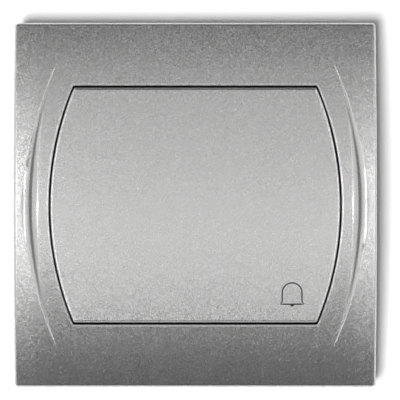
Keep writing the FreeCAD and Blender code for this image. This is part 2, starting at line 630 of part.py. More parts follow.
def mechanism_base():
    body = rounded_block(BASE_WIDTH, BASE_HEIGHT, 0.0, BASE_DEPTH, BASE_CORNER_R)
    inner_x = BASE_INNER_X
    inner_z = BASE_INNER_Z
    cavity = rounded_block(2.0 * inner_x, 2.0 * inner_z, -1.0, BASE_FLOOR_Y, BASE_CORNER_R - BASE_WALL)
    body = body.cut(cavity)
    added = []
    column_y = COVER_REAR_Y + COVER_SPIGOT_GAP
    for x, z in cover_screw_places():
        side_x = math.copysign(1.0, x)
        side_z = math.copysign(1.0, z)
        x0, x1 = sorted((side_x * (inner_x + BASE_WALL / 2.0), x - side_x * SCREW_COLUMN))
        z0, z1 = sorted((side_z * (inner_z + BASE_WALL / 2.0), z - side_z * SCREW_COLUMN))
        added.append(block(x0, x1, 0.0, BASE_FLOOR_Y, z0, z1))
    spigot_x = YOKE_WINDOW_X / 2.0 + COVER_SPIGOT_GAP
    spigot_z = YOKE_WINDOW_Z / 2.0 + COVER_SPIGOT_GAP
    relief = block(-spigot_x, spigot_x, -1.0, column_y, -spigot_z, spigot_z)
    common_shelf = block(-PIN_EAR_X, PIN_EAR_X, STRIP_REAR_Y, BASE_FLOOR_Y, TERMINAL_Z, LEVER_PIN_Z + PIN_EAR_R)
    fixed_shelf = block(
        -LEVER_WIDTH / 2.0, TERMINAL_X, STRIP_REAR_Y, BASE_FLOOR_Y, -inner_z, CONTACT_Z + CONTACT_R
    )
    spring_seat = rod_y(0, LEVER_SPRING_Z, LEVER_SPRING_R + 1.0, LEVER_SEAT_Y, BASE_FLOOR_Y)
    spring_peg_r = LEVER_SPRING_R - LEVER_WIRE_R - SPRING_SEAT_GAP
    spring_peg = rod_y(0, LEVER_SPRING_Z, spring_peg_r, LEVER_SEAT_Y - LEVER_SPRING_PEG, LEVER_SEAT_Y)
    added = added + [common_shelf, fixed_shelf, spring_seat, spring_peg]
    guide_half_z = CLAMP_HALF_Z + CLAMP_GUIDE_GAP
    guide_inner = TERMINAL_X - CLAMP_HALF_X - CLAMP_GUIDE_GAP
    guide_outer = TERMINAL_X + CLAMP_HALF_X + CLAMP_GUIDE_GAP
    windows = []
    for side in (-1, 1):
        x0, x1 = sorted((side * (guide_inner - CLAMP_GUIDE), side * guide_inner))
        added.append(
            block(x0, x1, STRIP_REAR_Y, BASE_FLOOR_Y, TERMINAL_Z - guide_half_z, TERMINAL_Z + guide_half_z)
        )
        x0, x1 = sorted((side * guide_outer, side * inner_x))
        added.append(
            block(x0, x1, STRIP_REAR_Y, BASE_FLOOR_Y, TERMINAL_Z - guide_half_z, TERMINAL_Z + guide_half_z)
        )
        x0, x1 = sorted((side * guide_outer, side * BASE_WIDTH))
        windows.append(
            block(
                x0,
                x1,
                STRIP_REAR_Y + WIRE_WINDOW_GAP,
                CLAMP_FRONT_Y - WIRE_WINDOW_GAP,
                TERMINAL_Z - CLAMP_HALF_Z,
                TERMINAL_Z + CLAMP_HALF_Z,
            )
        )
    ramps = claw_ramps()
    ramps = ramps + [half_turn(ramp) for ramp in ramps]
    body = body.fuse(added + ramps).removeSplitter()
    holes = [relief] + windows
    for x, z in cover_screw_places():
        hole_r = COVER_SCREW_R + SCREW_HOLE_FIT
        holes.append(rod_y(x, z, hole_r, -1.0, COVER_FRONT_Y + COVER_SCREW_LENGTH + 1.0))
    return body.cut(holes)


def trunnion_ear(side):
    x0, x1 = sorted((side * EAR_INNER_X, side * EAR_OUTER_X))
    foot = block(x0, x1, HINGE_Y, COVER_FRONT_Y, -EAR_R, EAR_R)
    eye = rod_x(HINGE_Y, 0, EAR_R, x0, x1)
    bore = rod_x(HINGE_Y, 0, TRUNNION_R + TRUNNION_FIT, x0 - 1.0, x1 + 1.0)
    return foot.fuse(eye).removeSplitter().cut(bore)


def mechanism_cover():
    body = rounded_block(COVER_WIDTH, COVER_HEIGHT, COVER_FRONT_Y, YOKE_FRONT_Y, COVER_CORNER_R)
    spigot = rounded_block(
        YOKE_WINDOW_X - 2.0 * COVER_SPIGOT_GAP,
        YOKE_WINDOW_Z - 2.0 * COVER_SPIGOT_GAP,
        YOKE_FRONT_Y,
        COVER_REAR_Y,
        COVER_CORNER_R,
    )
    body = body.fuse([spigot, trunnion_ear(-1), trunnion_ear(1)]).removeSplitter()
    y0 = COVER_FRONT_Y - 1.0
    y1 = COVER_REAR_Y + 1.0
    holes = [rod_y(0, PLUNGER_Z, PLUNGER_R + PLUNGER_FIT, y0, y1)]
    for side in (-1, 1):
        holes.append(rod_y(side * TERMINAL_X, TERMINAL_Z, TERMINAL_ACCESS_R, y0, y1))
        pocket_r = RETURN_SPRING_R + RETURN_WIRE_R + SPRING_SEAT_GAP
        holes.append(
            rod_y(side * RETURN_SPRING_X, RETURN_SPRING_Z, pocket_r, y0, COVER_FRONT_Y + RETURN_POCKET)
        )
    for x, z in cover_screw_places():
        holes.append(rod_y(x, z, COVER_SCREW_R + SCREW_HOLE_FIT, y0, y1))
    return body.cut(holes)


def slotted_screw(x, z, radius, head_r, head, under_head_y, length):
    shank = rod_y(x, z, radius, under_head_y, under_head_y + length)
    cap = rod_y(x, z, head_r, under_head_y - head, under_head_y)
    slot = block(
        x - head_r,
        x + head_r,
        under_head_y - head - 1.0,
        under_head_y - head + SCREW_SLOT_DEPTH,
        z - SCREW_SLOT / 2.0,
        z + SCREW_SLOT / 2.0,
    )
    return cap.fuse(shank).cut(slot).removeSplitter()


def cover_screws():
    screws = []
    for x, z in cover_screw_places():
        screw = slotted_screw(
            x, z, COVER_SCREW_R, COVER_SCREW_HEAD_R, COVER_SCREW_HEAD, COVER_FRONT_Y, COVER_SCREW_LENGTH
        )
        screws.append(screw)
    return Part.makeCompound(screws)


# Plunger, lever and contacts
def push_plunger():
    front_y = tilted_y(NOSE_Y, PLUNGER_Z) + PLUNGER_NOSE_R + TOUCH_GAP
    rear_y = LEVER_FRONT_Y - PLUNGER_TIP_GAP
    shaft = rod_y(0, PLUNGER_Z, PLUNGER_R, front_y, rear_y)
    collar_y = COVER_REAR_Y + TOUCH_GAP
    collar = rod_y(0, PLUNGER_Z, PLUNGER_COLLAR_R, collar_y, collar_y + PLUNGER_COLLAR)
    return shaft.fuse(collar).removeSplitter()


def contact_lever():
    half = LEVER_WIDTH / 2.0
    loop = rod_x(LEVER_PIN_Y, LEVER_PIN_Z, LEVER_LOOP_R, -half, half)
    arm = block(-half, half, LEVER_FRONT_Y, LEVER_REAR_Y, PLUNGER_Z, LEVER_PIN_Z)
    half_tip = LEVER_TIP_WIDTH / 2.0
    tip = block(-half_tip, half_tip, LEVER_FRONT_Y, LEVER_REAR_Y, LEVER_TIP_Z, PLUNGER_Z)
    bore = rod_x(LEVER_PIN_Y, LEVER_PIN_Z, LEVER_PIN_R + LEVER_PIN_FIT, -LEVER_WIDTH, LEVER_WIDTH)
    rivet_hole = rod_y(0, CONTACT_Z, CONTACT_SHANK_R, LEVER_FRONT_Y - 1.0, LEVER_REAR_Y + 1.0)
    return loop.fuse([arm, tip]).removeSplitter().cut([bore, rivet_hole])


def contact_rivet(head_y, strip_y, far_y):
    # A silver rivet: its broad head is the contact face, its shank is set into the strip
    y0, y1 = sorted((head_y, strip_y))
    head = rod_y(0, CONTACT_Z, CONTACT_R, y0, y1)
    y0, y1 = sorted((strip_y, far_y))
    return head.fuse(rod_y(0, CONTACT_Z, CONTACT_SHANK_R, y0, y1)).removeSplitter()


def moving_contact():
    return contact_rivet(LEVER_REAR_Y + CONTACT_HEAD, LEVER_REAR_Y, LEVER_FRONT_Y)


def fixed_contact():
    return contact_rivet(STRIP_FRONT_Y - CONTACT_HEAD, STRIP_FRONT_Y, STRIP_REAR_Y)


def lever_pin():
    end = PIN_EAR_X + PIN_EAR
    return rod_x(LEVER_PIN_Y, LEVER_PIN_Z, LEVER_PIN_R, -end, end)


def screw_hole(side):
    hole_r = TERMINAL_SCREW_R + SCREW_HOLE_FIT
    return rod_y(side * TERMINAL_X, TERMINAL_Z, hole_r, STRIP_FRONT_Y - 1.0, STRIP_REAR_Y + 1.0)


def common_strip():
    # Brass strip that carries the lever's pin in two bent-up ears and ends under the left terminal screw
    outer = PIN_EAR_X + PIN_EAR
    half = STRIP_HALF_WIDTH
    run = block(
        -TERMINAL_X - half, outer, STRIP_FRONT_Y, STRIP_REAR_Y, TERMINAL_Z - half, TERMINAL_Z + half
    )
    top_z = LEVER_PIN_Z + PIN_EAR_R
    head = block(-outer, outer, STRIP_FRONT_Y, STRIP_REAR_Y, TERMINAL_Z, top_z)
    pieces = [head]
    for side in (-1, 1):
        x0, x1 = sorted((side * PIN_EAR_X, side * outer))
        pieces.append(block(x0, x1, LEVER_PIN_Y, STRIP_FRONT_Y, LEVER_PIN_Z - PIN_EAR_R, top_z))
        pieces.append(rod_x(LEVER_PIN_Y, LEVER_PIN_Z, PIN_EAR_R, x0, x1))
    body = run.fuse(pieces).removeSplitter()
    pin_hole = rod_x(LEVER_PIN_Y, LEVER_PIN_Z, LEVER_PIN_R, -outer - 1.0, outer + 1.0)
    return body.cut([screw_hole(-1), pin_hole])


def contact_strip():
    # Brass strip from the fixed contact round to the right terminal screw
    half = STRIP_HALF_WIDTH
    low_z = CONTACT_Z - CONTACT_R
    foot = block(
        -LEVER_WIDTH / 2.0, TERMINAL_X + half, STRIP_FRONT_Y, STRIP_REAR_Y, low_z, CONTACT_Z + CONTACT_R
    )
    rise = block(
        TERMINAL_X - half, TERMINAL_X + half, STRIP_FRONT_Y, STRIP_REAR_Y, low_z, TERMINAL_Z + half
    )
    body = foot.fuse(rise).removeSplitter()
    rivet_hole = rod_y(0, CONTACT_Z, CONTACT_SHANK_R, STRIP_FRONT_Y - 1.0, STRIP_REAR_Y + 1.0)
    return body.cut([screw_hole(1), rivet_hole])


# Screw terminals: the screw turns in the strip and draws the clamp plate forward onto the wire
def terminal_screw(side):
    under_head = STRIP_FRONT_Y - TOUCH_GAP
    length = CLAMP_FRONT_Y + CLAMP_THICK + 1.0 - under_head
    return slotted_screw(
        side * TERMINAL_X, TERMINAL_Z, TERMINAL_SCREW_R, TERMINAL_HEAD_R, TERMINAL_HEAD, under_head, length
    )


def terminal_clamp(side):
    x = side * TERMINAL_X
    plate = block(
        x - CLAMP_HALF_X,
        x + CLAMP_HALF_X,
        CLAMP_FRONT_Y,
        CLAMP_FRONT_Y + CLAMP_THICK,
        TERMINAL_Z - CLAMP_HALF_Z,
        TERMINAL_Z + CLAMP_HALF_Z,
    )
    plate = plate.makeChamfer(CLAMP_EDGE, edges_along(plate, Vec(0, 1, 0)))
    hole_end = CLAMP_FRONT_Y + CLAMP_THICK + 1.0
    hole = rod_y(x, TERMINAL_Z, TERMINAL_SCREW_R + THREAD_FIT, CLAMP_FRONT_Y - 1.0, hole_end)
    return plate.cut(hole)


# Spreading claws: the nut is drawn forward and drives the claw out along the ramps
def claw_screw():
    under_head = YOKE_FRONT_Y - TOUCH_GAP
    return slotted_screw(0, CLAW_SCREW_Z, CLAW_SCREW_R, CLAW_HEAD_R, CLAW_HEAD, under_head, CLAW_SCREW_LENGTH)


def claw_nut():
    y0 = CLAW_REAR_Y + TOUCH_GAP
    body = block(-NUT_HALF, NUT_HALF, y0, y0 + NUT_THICK, CLAW_SCREW_Z - NUT_HALF, CLAW_SCREW_Z + NUT_HALF)
    body = body.makeChamfer(NUT_EDGE, edges_along(body, Vec(0, 1, 0)))
    return body.cut(rod_y(0, CLAW_SCREW_Z, CLAW_SCREW_R + THREAD_FIT, y0 - 1.0, y0 + NUT_THICK + 1.0))


def claw():
    half = CLAW_WIDTH / 2.0
    plane = RAMP_PLANE + CLAW_SLIDE_GAP
    heel_y = CLAW_FRONT_Y + RAMP_BEVEL
    section = [
        (CLAW_FRONT_Y, CLAW_REACH_Z),
        (CLAW_FRONT_Y, plane - CLAW_FRONT_Y),
        (heel_y, plane - heel_y),
        (CLAW_REAR_Y, plane - heel_y),
        (CLAW_REAR_Y, CLAW_REACH_Z),
    ]
    plate = slab_x(section, -half, half)
    slot_end = CLAW_SCREW_Z
    y0 = CLAW_FRONT_Y - 1.0
    y1 = CLAW_REAR_Y + 1.0
    slot = block(-CLAW_SLOT_HALF, CLAW_SLOT_HALF, y0, y1, slot_end - CLAW_REACH_Z, slot_end)
    cuts = [slot, rod_y(0, slot_end, CLAW_SLOT_HALF, y0, y1)]
    pitch = CLAW_WIDTH / CLAW_TEETH
    edge_z = CLAW_REACH_Z + TOUCH_GAP
    for index in range(CLAW_TEETH):
        middle = -half + (index + 0.5) * pitch
        notch = Part.makePolygon(
            [
                Vec(middle - pitch / 2.0, y0, edge_z),
                Vec(middle + pitch / 2.0, y0, edge_z),
                Vec(middle, y0, CLAW_REACH_Z - CLAW_TOOTH),
                Vec(middle - pitch / 2.0, y0, edge_z),
            ]
        )
        cuts.append(Part.Face(notch).extrude(Vec(0, y1 - y0, 0)))
    guide_x = NUT_HALF + NUT_GUIDE_GAP
    guides = []
    for side in (-1, 1):
        x0, x1 = sorted((side * guide_x, side * (guide_x + NUT_GUIDE_SHEET)))
        guides.append(
            block(x0, x1, CLAW_REAR_Y, CLAW_REAR_Y + NUT_THICK, plane - heel_y, CLAW_REACH_Z - CLAW_TOOTH)
        )
    return plate.cut(cuts).fuse(guides).removeSplitter()


# Compression springs, wound round Y
def coil_spring(x, z, mean_r, wire_r, coils, y0, y1):
    # Square wire wound in short straight runs; each section lies in a plane through the axis
    rise = y1 - y0 - 2.0 * wire_r
    steps = int(coils * COIL_STEPS)
    sections = []
    for step in range(steps + 1):
        angle = 2.0 * math.pi * step / COIL_STEPS
        y = y0 + wire_r + rise * step / steps
        corners = []
        for out, along in ((-1, -1), (1, -1), (1, 1), (-1, 1), (-1, -1)):
            radius = mean_r + out * wire_r
            corners.append(Vec(x + radius * math.cos(angle), y + along * wire_r, z + radius * math.sin(angle)))
        sections.append(Part.makePolygon(corners))
    return Part.makeLoft(sections, True, True)


def return_springs():
    front_y = tilted_y(ROCKER_REAR_Y, RETURN_SPRING_Z) + 2.0 * SPRING_END_GAP
    rear_y = COVER_FRONT_Y + RETURN_POCKET - SPRING_END_GAP
    coils = []
    for side in (-1, 1):
        x = side * RETURN_SPRING_X
        wire = (RETURN_SPRING_R, RETURN_WIRE_R, RETURN_COILS)
        coils.append(coil_spring(x, RETURN_SPRING_Z, *wire, front_y, rear_y))
    return Part.makeCompound(coils)


def lever_spring():
    front_y = LEVER_REAR_Y + SPRING_END_GAP
    rear_y = LEVER_SEAT_Y - SPRING_END_GAP
    return coil_spring(0, LEVER_SPRING_Z, LEVER_SPRING_R, LEVER_WIRE_R, LEVER_COILS, front_y, rear_y)


def all_parts():
    parts = {
        "cover_frame": cover_frame(),
        "key_cap": key_cap(),
        "rocker_actuator": rocker_actuator(),
        "return_springs": return_springs(),
        "push_plunger": push_plunger(),
        "mounting_yoke": mounting_yoke(),
        "mechanism_cover": mechanism_cover(),
        "mechanism_base": mechanism_base(),
        "cover_screws": cover_screws(),
        "contact_lever": contact_lever(),
        "lever_pin": lever_pin(),
        "lever_spring": lever_spring(),
        "moving_contact": moving_contact(),
        "fixed_contact": fixed_contact(),
        "common_strip": common_strip(),
        "contact_strip": contact_strip(),
        "claw_screw_upper": claw_screw(),
        "claw_nut_upper": claw_nut(),
        "claw_upper": claw(),
        "claw_screw_lower": half_turn(claw_screw()),
        "claw_nut_lower": half_turn(claw_nut()),
        "claw_lower": half_turn(claw()),
    }
    for name, side in (("left", -1), ("right", 1)):
        parts["terminal_screw_" + name] = terminal_screw(side)
        parts["terminal_clamp_" + name] = terminal_clamp(side)
    return parts


os.makedirs("parts", exist_ok=True)
for node, shape in all_parts().items():
    shape.exportStep("parts/" + node + ".step")
    print(node, shape.ShapeType, len(shape.Solids), shape.isValid(), round(shape.Volume, 2))
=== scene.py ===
import math

import bmesh
import bpy
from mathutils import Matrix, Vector
from mathutils.bvhtree import BVHTree


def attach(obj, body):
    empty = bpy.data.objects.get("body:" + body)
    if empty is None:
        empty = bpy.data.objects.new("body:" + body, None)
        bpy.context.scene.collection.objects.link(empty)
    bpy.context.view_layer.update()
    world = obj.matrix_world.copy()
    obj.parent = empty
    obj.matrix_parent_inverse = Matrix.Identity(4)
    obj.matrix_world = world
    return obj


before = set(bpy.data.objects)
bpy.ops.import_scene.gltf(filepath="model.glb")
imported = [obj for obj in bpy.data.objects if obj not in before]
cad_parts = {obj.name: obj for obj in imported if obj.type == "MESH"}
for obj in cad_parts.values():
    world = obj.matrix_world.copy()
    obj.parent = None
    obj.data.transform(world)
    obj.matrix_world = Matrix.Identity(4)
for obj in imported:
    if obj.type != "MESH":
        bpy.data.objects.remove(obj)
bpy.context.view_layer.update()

# Cover frame
# The square frame of the wall plate: injection-moulded plastic, sprayed with a silver metallic paint that
# is full of fine flakes, and clipped over the yoke. A thin clear film over the flakes gives the soft gloss.
SILVER = (0.66, 0.658, 0.656, 1.0)
METAL_SHARE = 0.94
PAINT_GLOSS = 0.28
CLEAR_FILM = {"Coat_Weight": 0.15, "Coat_Roughness": 0.3}
FLAKE_SIZE = 0.00020
PLATE_FLAKE_TILT = 0.085
FLAKE_SPREAD = 0.20


def new_group(name, inputs, outputs):
    group = bpy.data.node_groups.new(name, "ShaderNodeTree")
    for label, kind, value in inputs:
        socket = group.interface.new_socket(label, in_out="INPUT", socket_type=kind)
        if value is not None:
            socket.default_value = value
    for label, kind in outputs:
        group.interface.new_socket(label, in_out="OUTPUT", socket_type=kind)
    return group, group.nodes.new("NodeGroupInput"), group.nodes.new("NodeGroupOutput")


def add_node(tree, kind, **settings):
    node = tree.nodes.new(kind)
    for key, value in settings.items():
        if key in node.inputs:
            node.inputs[key].default_value = value
        else:
            setattr(node, key, value)
    return node


def computed(tree, operation, *values):
    # One arithmetic step; each value is a number or a socket
    node = add_node(tree, "ShaderNodeMath", operation=operation)
    for index, value in enumerate(values):
        if isinstance(value, (int, float)):
            node.inputs[index].default_value = value
        else:
            tree.links.new(value, node.inputs[index])
    return node.outputs[0]


def summed(tree, first, second):
    node = add_node(tree, "ShaderNodeVectorMath", operation="ADD")
    tree.links.new(first, node.inputs[0])
    tree.links.new(second, node.inputs[1])
    return node.outputs["Vector"]


def times(tree, vector_socket, factor_socket):
    # A vector or a colour, scaled
    scaled = add_node(tree, "ShaderNodeVectorMath", operation="SCALE")
    tree.links.new(vector_socket, scaled.inputs[0])
    tree.links.new(factor_socket, scaled.inputs["Scale"])
    return scaled.outputs["Vector"]


def faded(tree, value, start, end):
    # Zero below start and one above end, with a soft step between them
    step = add_node(tree, "ShaderNodeMapRange", interpolation_type="SMOOTHSTEP")
    step.inputs["From Min"].default_value = start
    step.inputs["From Max"].default_value = end
    tree.links.new(value, step.inputs["Value"])
    return step.outputs["Result"]


def object_place(tree):
    # Object coordinates, which are the part's own frame in metres, as a vector and as X, Y and Z
    place = add_node(tree, "ShaderNodeTexCoord").outputs["Object"]
    spot = add_node(tree, "ShaderNodeSeparateXYZ")
    tree.links.new(place, spot.inputs[0])
    return place, spot


def scaled_place(tree, size_socket):
    # Object coordinates divided by a size in metres, so that one unit is one flake, grain or streak
    place = add_node(tree, "ShaderNodeTexCoord")
    return times(tree, place.outputs["Object"], computed(tree, "DIVIDE", 1.0, size_socket))


NOISE_ROUGHNESS = 0.55


def mottled(tree, vector, spread_socket, detail):
    # A factor around one that varies with a noise, by the given spread either way
    noise = add_node(tree, "ShaderNodeTexNoise", Scale=1.0, Detail=detail, Roughness=NOISE_ROUGHNESS)
    tree.links.new(vector, noise.inputs["Vector"])
    centred = computed(tree, "SUBTRACT", noise.outputs["Fac"], 0.5)
    return computed(tree, "MULTIPLY_ADD", centred, spread_socket, 1.0)


# The opening for the key: half its height and width, and the radius of its bowed sides
OPENING_HALF_Z = 0.0269
OPENING_HALF_X = 0.03299
OPENING_SIDE = 0.0691
RIM_LEAN = 0.22
RIM_REACH = (0.00042, 0.00052)


def rim_lean(tree, given, spot, x_side, z_side):
    # The lean of the face beside the gap round the key, whose edges roll over gently before they drop
    across = computed(tree, "SUBTRACT", given.outputs["Side Radius"], given.outputs["Half Width"])
    out_x = computed(tree, "ADD", x_side, across)
    x_squared = computed(tree, "MULTIPLY", out_x, out_x)
    z_squared = computed(tree, "MULTIPLY", z_side, z_side)
    from_centre = computed(tree, "SQRT", computed(tree, "ADD", x_squared, z_squared))
    past_side = computed(tree, "SUBTRACT", from_centre, given.outputs["Side Radius"])
    past_end = computed(tree, "SUBTRACT", z_side, given.outputs["Half Height"])
    away = computed(tree, "ABSOLUTE", computed(tree, "MAXIMUM", past_side, past_end))
    near = computed(tree, "SUBTRACT", 1.0, faded(tree, away, *RIM_REACH))
    amount = computed(tree, "MULTIPLY", near, given.outputs["Rim Lean"])
    at_end = computed(tree, "GREATER_THAN", past_end, past_side)
    at_side = computed(tree, "SUBTRACT", 1.0, at_end)
    lean = add_node(tree, "ShaderNodeCombineXYZ")
    for axis, share in (("X", at_side), ("Z", at_end)):
        signed = computed(tree, "MULTIPLY", share, computed(tree, "SIGN", spot.outputs[axis]))
        tree.links.new(computed(tree, "MULTIPLY", signed, amount), lean.inputs[axis])
    return lean.outputs["Vector"]


# Depths are measured from the crowned face into the plate. Each pair gives where a change starts and ends.
CROWN_FRONT = 0.0094
PLATE_CROWN = 0.330
EDGE_RADIUS = 0.00022
EDGE_SAMPLES = 6
EDGE_DEPTH = (0.0004, 0.0006)
SIDE_LEAN = 0.05
LEAN_REACH = (0.0335, 0.0375)


def face_normal(group, given, spot, x_side, z_side, depth, vector):
    # Edges are rounded, the side bands lean outward a little, and each flake lies at its own small tilt
    surface = add_node(group, "ShaderNodeNewGeometry")
    edge = add_node(group, "ShaderNodeBevel", samples=EDGE_SAMPLES)
    group.links.new(given.outputs["Edge Radius"], edge.inputs["Radius"])
    rounded = add_node(group, "ShaderNodeMix", data_type="VECTOR")
    group.links.new(faded(group, depth, *EDGE_DEPTH), rounded.inputs["Factor"])
    vectors = [socket for socket in rounded.inputs if socket.type == "VECTOR"]
    group.links.new(edge.outputs["Normal"], vectors[-2])
    group.links.new(surface.outputs["Normal"], vectors[-1])
    rounded_normal = [socket for socket in rounded.outputs if socket.type == "VECTOR"][0]

    cells = add_node(group, "ShaderNodeTexVoronoi", Scale=1.0)
    group.links.new(vector, cells.inputs["Vector"])
    centred = add_node(group, "ShaderNodeVectorMath", operation="SUBTRACT")
    group.links.new(cells.outputs["Color"], centred.inputs[0])
    centred.inputs[1].default_value = (0.5, 0.5, 0.5)
    tilt = times(group, centred.outputs["Vector"], given.outputs["Flake Tilt"])

    lean = computed(group, "MULTIPLY", faded(group, x_side, *LEAN_REACH), given.outputs["Side Lean"])
    outward = add_node(group, "ShaderNodeCombineXYZ")
    side = computed(group, "SIGN", spot.outputs["X"])
    group.links.new(computed(group, "MULTIPLY", lean, side), outward.inputs["X"])

    normal = summed(group, rounded_normal, tilt)
    normal = summed(group, normal, outward.outputs["Vector"])
    normal = summed(group, normal, rim_lean(group, given, spot, x_side, z_side))
    unit = add_node(group, "ShaderNodeVectorMath", operation="NORMALIZE")
    group.links.new(normal, unit.inputs[0])
    return unit.outputs["Vector"], surface


# The spray doesn't reach the walls of the gap; they are bare plastic, darkened to near black as painted shade
BARE_PLASTIC_AND_SHADE = (0.006, 0.006, 0.006, 1.0)
BARE_GLOSS = 0.6
BARE_DEPTH = (0.00025, 0.0005)
GAP_REACH = 0.034
UPRIGHT_WALL = 0.35
# Painted shade in the grooves: the paint's colour is darkened where the face lies deep below the crown
GROOVE_SHADE_DEPTH = (0.0004, 0.0009)
GROOVE_SHADE_LOSS = 0.32
FLAKE_DETAIL = 2.0


def flake_group():
    # Paint on a face whose middle line is nearest to the room and which falls back to its top and bottom
    group, given, result = new_group(
        "metal_flake",
        [
            ("Colour", "NodeSocketColor", SILVER),
            ("Bare Shade Colour", "NodeSocketColor", BARE_PLASTIC_AND_SHADE),
            ("Flake Size", "NodeSocketFloat", FLAKE_SIZE),
            ("Flake Tilt", "NodeSocketFloat", PLATE_FLAKE_TILT),
            ("Flake Spread", "NodeSocketFloat", FLAKE_SPREAD),
            ("Edge Radius", "NodeSocketFloat", EDGE_RADIUS),
            ("Crown Front", "NodeSocketFloat", CROWN_FRONT),
            ("Crown Radius", "NodeSocketFloat", PLATE_CROWN),
            ("Side Lean", "NodeSocketFloat", 0.0),
            ("Half Height", "NodeSocketFloat", OPENING_HALF_Z),
            ("Half Width", "NodeSocketFloat", OPENING_HALF_X),
            ("Side Radius", "NodeSocketFloat", OPENING_SIDE),
            ("Rim Lean", "NodeSocketFloat", -RIM_LEAN),
            ("Gloss", "NodeSocketFloat", PAINT_GLOSS),
        ],
        [("Colour", "NodeSocketColor"), ("Gloss", "NodeSocketFloat"), ("Normal", "NodeSocketVector")],
    )
    _, spot = object_place(group)
    x_side = computed(group, "ABSOLUTE", spot.outputs["X"])
    z_side = computed(group, "ABSOLUTE", spot.outputs["Z"])
    z_squared = computed(group, "MULTIPLY", z_side, z_side)
    double_radius = computed(group, "MULTIPLY", given.outputs["Crown Radius"], 2.0)
    fall = computed(group, "DIVIDE", z_squared, double_radius)
    forward = computed(group, "ADD", spot.outputs["Y"], given.outputs["Crown Front"])
    depth = computed(group, "SUBTRACT", forward, fall)
    vector = scaled_place(group, given.outputs["Flake Size"])
    normal, surface = face_normal(group, given, spot, x_side, z_side, depth, vector)
    group.links.new(normal, result.inputs["Normal"])

    facing = add_node(group, "ShaderNodeSeparateXYZ")
    group.links.new(surface.outputs["Normal"], facing.inputs[0])
    forward_share = computed(group, "ABSOLUTE", facing.outputs["Y"])
    upright = computed(group, "LESS_THAN", forward_share, UPRIGHT_WALL)
    inner = computed(group, "LESS_THAN", computed(group, "MAXIMUM", x_side, z_side), GAP_REACH)
    gap_wall = computed(group, "MULTIPLY", upright, inner)
    # Painted shade: the bare walls of the gap take a near-black colour that stands in for the shade down the
    # gap
    bare_and_shade = computed(group, "MULTIPLY", gap_wall, faded(group, depth, *BARE_DEPTH))
    coat = add_node(group, "ShaderNodeMix", data_type="RGBA")
    group.links.new(bare_and_shade, coat.inputs["Factor"])
    colours = [socket for socket in coat.inputs if socket.type == "RGBA"]
    group.links.new(given.outputs["Colour"], colours[0])
    group.links.new(given.outputs["Bare Shade Colour"], colours[1])
    coat_colour = [socket for socket in coat.outputs if socket.type == "RGBA"][0]

    factor = mottled(group, vector, given.outputs["Flake Spread"], FLAKE_DETAIL)
    # Painted shade: darker deep in the grooves, on top of the flakes' random tone
    groove_shade = computed(group, "MULTIPLY", faded(group, depth, *GROOVE_SHADE_DEPTH), GROOVE_SHADE_LOSS)
    tone_and_shade = computed(group, "MULTIPLY", computed(group, "SUBTRACT", 1.0, groove_shade), factor)
    group.links.new(times(group, coat_colour, tone_and_shade), result.inputs["Colour"])
    painted_gloss = computed(group, "MULTIPLY", given.outputs["Gloss"], factor)
    bare_gloss = computed(group, "MULTIPLY", bare_and_shade, BARE_GLOSS)
    group.links.new(computed(group, "ADD", painted_gloss, bare_gloss), result.inputs["Gloss"])
    return group


METAL_FLAKE = flake_group()


def surfaced(name, effect, metallic, values, **shader_values):
    # A material with its own shader, whose colour, roughness and normal come from one of the effects
    material = bpy.data.materials.new(name)
    material.use_nodes = True
    tree = material.node_tree
    shader = tree.nodes["Principled BSDF"]
    shader.inputs["Metallic"].default_value = metallic
    for key, value in shader_values.items():
        shader.inputs[key.replace("_", " ")].default_value = value
    made = tree.nodes.new("ShaderNodeGroup")
    made.node_tree = effect
    for key, value in values.items():
        made.inputs[key].default_value = value
    tree.links.new(made.outputs["Colour"], shader.inputs["Base Color"])
    tree.links.new(made.outputs["Gloss"], shader.inputs["Roughness"])
    tree.links.new(made.outputs["Normal"], shader.inputs["Normal"])
    return material


def dress(node, material):
    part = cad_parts[node]
    part.data.materials.clear()
    part.data.materials.append(material)
    for face in part.data.polygons:
        face.material_index = 0
        face.use_smooth = True


plate_paint = surfaced("plate_paint", METAL_FLAKE, METAL_SHARE, {"Side Lean": SIDE_LEAN}, **CLEAR_FILM)
dress("cover_frame", plate_paint)

# Key cap
# The rocking key that is pressed: the same painted plastic, moulded as a shallow cap with ribs and four
# clips behind it. A gap of a third of a millimetre parts it from the frame, and its edges roll over too.
KEY_CROWN = 0.600
KEY_FLAKE_TILT = 0.11
KEY_END_GAP = 0.00042
KEY_SIDE_GAP = 0.00033

key_paint = surfaced(
    "key_paint",
    METAL_FLAKE,
    METAL_SHARE,
    {
        "Flake Tilt": KEY_FLAKE_TILT,
        "Crown Radius": KEY_CROWN,
        "Half Height": OPENING_HALF_Z - KEY_END_GAP,
        "Half Width": OPENING_HALF_X - KEY_SIDE_GAP,
        "Side Radius": OPENING_SIDE - KEY_SIDE_GAP,
        "Rim Lean": RIM_LEAN,
    },
    **CLEAR_FILM,
)
dress("key_cap", key_paint)

# Bell sign
# A small bell in one thin dark line, pad-printed on the key's lower right corner, with its clapper below.
# The ink lies two hundredths of a millimetre proud of the paint and moves with the key.
BELL_X = 0.02180
BELL_Z = -0.02002
BELL_TOP = 0.0025
BELL_SHOULDER = 0.00223
BELL_FLARE = 0.00262
BELL_SIDE_LOW = -0.0017
BELL_BASE = -0.00230
CLAPPER_HALF = 0.00046
CLAPPER_DROP = 0.00056
LINE_WIDTH = 0.00031
LINE_RISE = 0.00002
DOME_STEPS = 24
SIDE_STEPS = 6
BASE_STEPS = 8
CLAPPER_STEPS = 12
INK = (0.035, 0.035, 0.035, 1.0)
INK_GRAIN = 0.0002
IN_FRONT = -0.05

key_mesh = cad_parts["key_cap"].data
key_tree = BVHTree.FromPolygons(
    [vertex.co for vertex in key_mesh.vertices], [list(face.vertices) for face in key_mesh.polygons]
)


def on_key(x, z):
    found = key_tree.ray_cast(Vector((x, IN_FRONT, z)), Vector((0, 1, 0)))
    return Vector((x, found[0].y - LINE_RISE, z))


